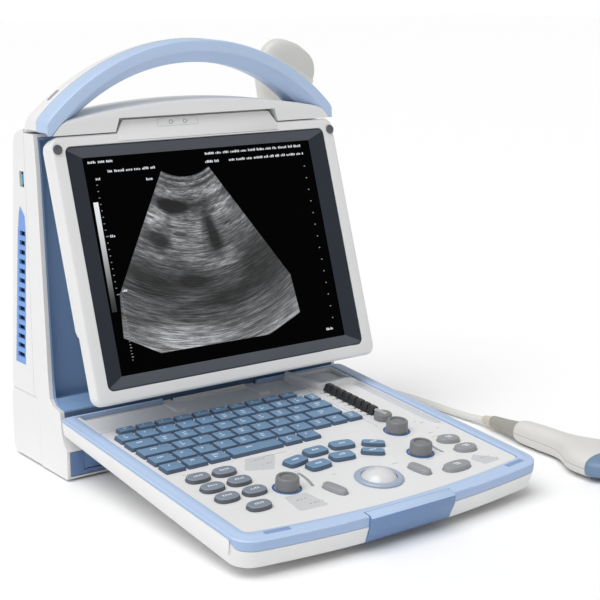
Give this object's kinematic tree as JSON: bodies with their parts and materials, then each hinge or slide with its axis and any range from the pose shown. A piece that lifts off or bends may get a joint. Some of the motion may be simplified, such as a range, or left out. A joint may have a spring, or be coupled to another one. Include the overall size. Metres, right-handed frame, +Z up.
{
  "type": "ultrasound scanner",
  "caption": "Portable veterinary ultrasound scanner: tower with carrying handle and tilting screen, folding control panel with keyboard, trackball and knobs, and hand probes.",
  "frame": {"origin": "centre of the tower's base plate, on the surface the scanner stands on", "axes": "+X to the operator's right, +Y to the back, +Z up"},
  "size_m": [0.4349, 0.5202, 0.3846],
  "materials": {
    "white_plastic": "fine matt texture",
    "pale_blue_plastic": "satin",
    "panel_blue_plastic": "satin",
    "bay_blue_plastic": "matt",
    "bezel_plastic": "fine matt texture",
    "screen_glass": "glossy",
    "key_rubber": "satin",
    "button_grey": "satin",
    "knob_grey": "matt",
    "slider_black": "satin",
    "dark_plastic": "matt",
    "ball_plastic": "polished",
    "probe_plastic": "satin",
    "lens_rubber": "satin",
    "stored_lens_rubber": "satin",
    "relief_rubber": "matt",
    "cable_sleeve": "satin",
    "foot_rubber": "matt",
    "steel": "brushed",
    "circuit_board": "satin",
    "latch_blue": "satin"
  },
  "bodies": {
    "tower": {"front_housing": "white_plastic", "rear_housing": "white_plastic", "battery_pack": "white_plastic", "screen_bay": "bay_blue_plastic", "service_hatch": "panel_blue_plastic", "top_cap": "white_plastic", "handle_front": "pale_blue_plastic", "handle_rear": "white_plastic", "vent_grille_left": "pale_blue_plastic", "vent_grille_right": "pale_blue_plastic", "main_board": "circuit_board", "probe_socket": "dark_plastic", "trolley_plate": "steel", "screen_hinge_shaft": "steel", "probe_holder": "dark_plastic", "lead_from_plug": "cable_sleeve", "lead_coil": "cable_sleeve", "lead_to_probe": "cable_sleeve", "probe_plug": "dark_plastic", "probe_strain_relief": "relief_rubber", "probe_shell": "probe_plastic", "probe_lens": "lens_rubber"},
    "screen": {"screen_frame": "white_plastic", "screen_bezel": "bezel_plastic", "lcd_panel": "screen_glass", "screen_rear_cover": "white_plastic", "bumper_left": "foot_rubber", "bumper_right": "foot_rubber"},
    "panel": {"panel_base": "white_plastic", "panel_trim": "pale_blue_plastic", "panel_deck": "white_plastic", "keyboard_mat": "key_rubber", "left_keypad": "button_grey", "function_keypad": "key_rubber", "panel_hinge_shaft": "steel", "trackball_ring": "pale_blue_plastic", "trackball_cup": "dark_plastic", "panel_foot_left": "foot_rubber", "panel_foot_right": "foot_rubber"},
    "latch": {"panel_latch": "latch_blue"},
    "trackball": {"trackball": "ball_plastic"},
    "stored_probe": {"stored_probe_shell": "probe_plastic", "stored_probe_lens": "stored_lens_rubber"},
    "gain_knob": {"gain_knob": "knob_grey"},
    "depth_knob": {"depth_knob": "knob_grey"},
    "menu_knob": {"menu_knob": "knob_grey"},
    "focus_dial": {"focus_dial": "knob_grey"},
    "select_key_left": {"select_key_left": "button_grey"},
    "select_key_right": {"select_key_right": "button_grey"},
    "measure_key": {"measure_key": "button_grey"},
    "freeze_key": {"freeze_key": "button_grey"},
    "store_key": {"store_key": "button_grey"},
    "gain_slider_1": {"gain_slider_1": "slider_black"},
    "gain_slider_2": {"gain_slider_2": "slider_black"},
    "gain_slider_3": {"gain_slider_3": "slider_black"},
    "gain_slider_4": {"gain_slider_4": "slider_black"},
    "gain_slider_5": {"gain_slider_5": "slider_black"},
    "gain_slider_6": {"gain_slider_6": "slider_black"},
    "gain_slider_7": {"gain_slider_7": "slider_black"},
    "gain_slider_8": {"gain_slider_8": "slider_black"}
  },
  "joints": [
    {"name": "panel_fold", "type": "hinge", "parent": "tower", "child": "panel", "pos_m": [0, -0.069, 0.048], "axis": [-1, 0, 0], "range_deg": [0, 98.15]},
    {"name": "screen_tilt", "type": "hinge", "parent": "tower", "child": "screen", "pos_m": [0, -0.0225, 0.316], "axis": [1, 0, 0], "range_deg": [0, 15.78]},
    {"name": "latch_release", "type": "hinge", "parent": "panel", "child": "latch", "pos_m": [0, -0.32703, 0.0152], "axis": [1, 0, 0], "range_deg": [0, 18], "stiffness_Nm_per_rad": 0.1, "springref_deg": -8.59},
    {"name": "trackball_roll", "type": "hinge", "parent": "panel", "child": "trackball", "pos_m": [0.0093, -0.28544, 0.02605], "axis": [1, 0, 0], "continuous": true},
    {"name": "stored_probe_lift", "type": "slide", "parent": "tower", "child": "stored_probe", "axis": [0.454, 0, 0.891], "range_m": [0, 0.12]},
    {"name": "gain_knob_turn", "type": "hinge", "parent": "panel", "child": "gain_knob", "pos_m": [-0.0685, -0.26454, 0.03902], "axis": [0, -0.0915, 0.9958], "continuous": true},
    {"name": "depth_knob_turn", "type": "hinge", "parent": "panel", "child": "depth_knob", "pos_m": [0.0897, -0.21515, 0.04356], "axis": [0, -0.0915, 0.9958], "continuous": true},
    {"name": "menu_knob_turn", "type": "hinge", "parent": "panel", "child": "menu_knob", "pos_m": [0.0752, -0.26345, 0.03912], "axis": [0, -0.0915, 0.9958], "continuous": true},
    {"name": "focus_dial_turn", "type": "hinge", "parent": "panel", "child": "focus_dial", "pos_m": [0.097, -0.18727, 0.04612], "axis": [0, -0.0915, 0.9958], "range_deg": [-140, 140]},
    {"name": "select_key_left_press", "type": "slide", "parent": "panel", "child": "select_key_left", "axis": [0, 0.0915, -0.9958], "range_m": [0, 0.0014], "stiffness_N_per_m": 300, "springref_m": -0.0005},
    {"name": "select_key_right_press", "type": "slide", "parent": "panel", "child": "select_key_right", "axis": [0, 0.0915, -0.9958], "range_m": [0, 0.0014], "stiffness_N_per_m": 300, "springref_m": -0.0005},
    {"name": "measure_key_press", "type": "slide", "parent": "panel", "child": "measure_key", "axis": [0, 0.0915, -0.9958], "range_m": [0, 0.0014], "stiffness_N_per_m": 300, "springref_m": -0.0005},
    {"name": "freeze_key_press", "type": "slide", "parent": "panel", "child": "freeze_key", "axis": [0, 0.0915, -0.9958], "range_m": [0, 0.0014], "stiffness_N_per_m": 300, "springref_m": -0.0005},
    {"name": "store_key_press", "type": "slide", "parent": "panel", "child": "store_key", "axis": [0, 0.0915, -0.9958], "range_m": [0, 0.0014], "stiffness_N_per_m": 300, "springref_m": -0.0005},
    {"name": "gain_slider_1_slide", "type": "slide", "parent": "panel", "child": "gain_slider_1", "axis": [1, 0, 0], "range_m": [-0.005, 0.005]},
    {"name": "gain_slider_2_slide", "type": "slide", "parent": "panel", "child": "gain_slider_2", "axis": [1, 0, 0], "range_m": [-0.005, 0.005]},
    {"name": "gain_slider_3_slide", "type": "slide", "parent": "panel", "child": "gain_slider_3", "axis": [1, 0, 0], "range_m": [-0.005, 0.005]},
    {"name": "gain_slider_4_slide", "type": "slide", "parent": "panel", "child": "gain_slider_4", "axis": [1, 0, 0], "range_m": [-0.005, 0.005]},
    {"name": "gain_slider_5_slide", "type": "slide", "parent": "panel", "child": "gain_slider_5", "axis": [1, 0, 0], "range_m": [-0.005, 0.005]},
    {"name": "gain_slider_6_slide", "type": "slide", "parent": "panel", "child": "gain_slider_6", "axis": [1, 0, 0], "range_m": [-0.005, 0.005]},
    {"name": "gain_slider_7_slide", "type": "slide", "parent": "panel", "child": "gain_slider_7", "axis": [1, 0, 0], "range_m": [-0.005, 0.005]},
    {"name": "gain_slider_8_slide", "type": "slide", "parent": "panel", "child": "gain_slider_8", "axis": [1, 0, 0], "range_m": [-0.005, 0.005]}
  ],
  "couplings": [
    {"joint": "screen_tilt", "follows": "panel_fold", "ratio": 0.16077}
  ]
}
